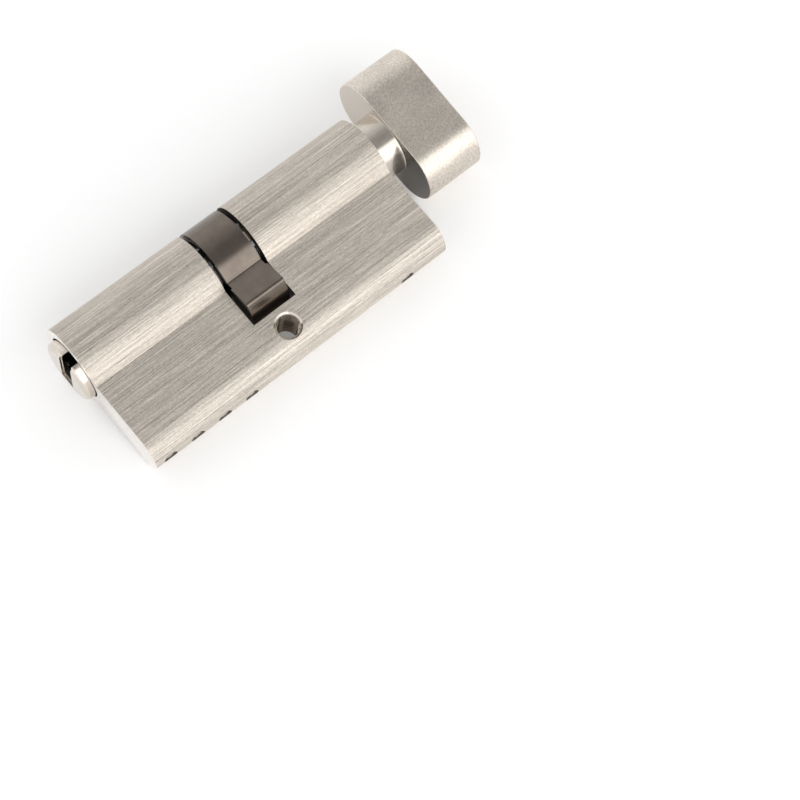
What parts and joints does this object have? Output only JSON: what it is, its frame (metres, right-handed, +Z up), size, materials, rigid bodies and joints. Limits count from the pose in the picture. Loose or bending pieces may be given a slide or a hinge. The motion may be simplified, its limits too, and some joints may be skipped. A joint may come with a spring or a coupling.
{
  "type": "euro cylinder",
  "caption": "Euro profile lock cylinder with a key plug at one end, an oval thumbturn at the other and a rotating cam in the middle slot, lying on its side.",
  "frame": {"origin": "on the plugs' axis, in the middle plane of the cam slot and of the fixing screw", "axes": "+X along the plugs' axis from the key end to the thumbturn; +Z up as the cylinder lies on its side, with the tail towards -Y and dipping by the roll at which round part and tail both touch a flat surface"},
  "size_m": [0.0902, 0.038, 0.0174],
  "materials": {
    "nickel_body": "satin nickel plate on brass, brushed along the length",
    "nickel_plug": "bright nickel plate, fine turned finish",
    "nickel_knob": "satin nickel plate, fine grain",
    "dark_cam": "dark sintered steel, smooth",
    "spring_steel": "plain spring steel",
    "brass": "plain machined brass",
    "black_steel": "black oxide"
  },
  "bodies": {
    "housing": {"housing": "nickel_body", "chamber_cap_1": "nickel_body", "chamber_cap_2": "nickel_body", "chamber_cap_3": "nickel_body", "chamber_cap_4": "nickel_body", "pin_spring_1": "spring_steel", "pin_spring_2": "spring_steel", "pin_spring_3": "spring_steel", "pin_spring_4": "spring_steel", "retaining_pin": "spring_steel", "retaining_spring": "spring_steel", "retaining_cap": "nickel_body"},
    "thumbturn": {"turn_spindle": "nickel_plug", "thumbturn_knob": "nickel_knob", "knob_grub_screw": "black_steel", "turn_side_circlip": "spring_steel"},
    "cam": {"cam": "dark_cam", "cam_drive_bar": "spring_steel"},
    "key_plug": {"key_plug": "nickel_plug", "key_side_circlip": "spring_steel"},
    "clutch": {"clutch_slider": "spring_steel", "clutch_spring": "spring_steel"},
    "key_pin_1": {"key_pin_1": "brass"},
    "driver_pin_1": {"driver_pin_1": "spring_steel"},
    "key_pin_2": {"key_pin_2": "brass"},
    "driver_pin_2": {"driver_pin_2": "spring_steel"},
    "key_pin_3": {"key_pin_3": "brass"},
    "driver_pin_3": {"driver_pin_3": "spring_steel"},
    "key_pin_4": {"key_pin_4": "brass"},
    "driver_pin_4": {"driver_pin_4": "spring_steel"}
  },
  "joints": [
    {"name": "thumbturn_turn", "type": "hinge", "parent": "housing", "child": "thumbturn", "pos_m": [0, 0, 0], "axis": [1, 0, 0], "continuous": true},
    {"name": "cam_turn", "type": "hinge", "parent": "housing", "child": "cam", "pos_m": [0, 0, 0], "axis": [1, 0, 0], "continuous": true},
    {"name": "key_plug_turn", "type": "hinge", "parent": "housing", "child": "key_plug", "pos_m": [0, 0, 0], "axis": [1, 0, 0], "continuous": true},
    {"name": "clutch_slide", "type": "slide", "parent": "key_plug", "child": "clutch", "axis": [1, 0, 0], "range_m": [0, 0.0022], "stiffness_N_per_m": 150, "springref_m": -0.001, "deforming": ["clutch_spring"]},
    {"name": "key_pin_1_slide", "type": "slide", "parent": "key_plug", "child": "key_pin_1", "axis": [0, 0.9858, 0.1676], "range_m": [0, 0.0017], "stiffness_N_per_m": 60},
    {"name": "driver_pin_1_slide", "type": "slide", "parent": "housing", "child": "driver_pin_1", "axis": [0, -0.9858, -0.1676], "range_m": [0, 0.0025], "stiffness_N_per_m": 120, "springref_m": -0.002, "deforming": ["pin_spring_1"]},
    {"name": "key_pin_2_slide", "type": "slide", "parent": "key_plug", "child": "key_pin_2", "axis": [0, 0.9858, 0.1676], "range_m": [0, 0.0013], "stiffness_N_per_m": 60},
    {"name": "driver_pin_2_slide", "type": "slide", "parent": "housing", "child": "driver_pin_2", "axis": [0, -0.9858, -0.1676], "range_m": [0, 0.0025], "stiffness_N_per_m": 120, "springref_m": -0.002, "deforming": ["pin_spring_2"]},
    {"name": "key_pin_3_slide", "type": "slide", "parent": "key_plug", "child": "key_pin_3", "axis": [0, 0.9858, 0.1676], "range_m": [0, 0.0015], "stiffness_N_per_m": 60},
    {"name": "driver_pin_3_slide", "type": "slide", "parent": "housing", "child": "driver_pin_3", "axis": [0, -0.9858, -0.1676], "range_m": [0, 0.0025], "stiffness_N_per_m": 120, "springref_m": -0.002, "deforming": ["pin_spring_3"]},
    {"name": "key_pin_4_slide", "type": "slide", "parent": "key_plug", "child": "key_pin_4", "axis": [0, 0.9858, 0.1676], "range_m": [0, 0.0011], "stiffness_N_per_m": 60},
    {"name": "driver_pin_4_slide", "type": "slide", "parent": "housing", "child": "driver_pin_4", "axis": [0, -0.9858, -0.1676], "range_m": [0, 0.0025], "stiffness_N_per_m": 120, "springref_m": -0.002, "deforming": ["pin_spring_4"]}
  ],
  "couplings": [
    {"joint": "cam_turn", "follows": "thumbturn_turn", "ratio": 1}
  ]
}
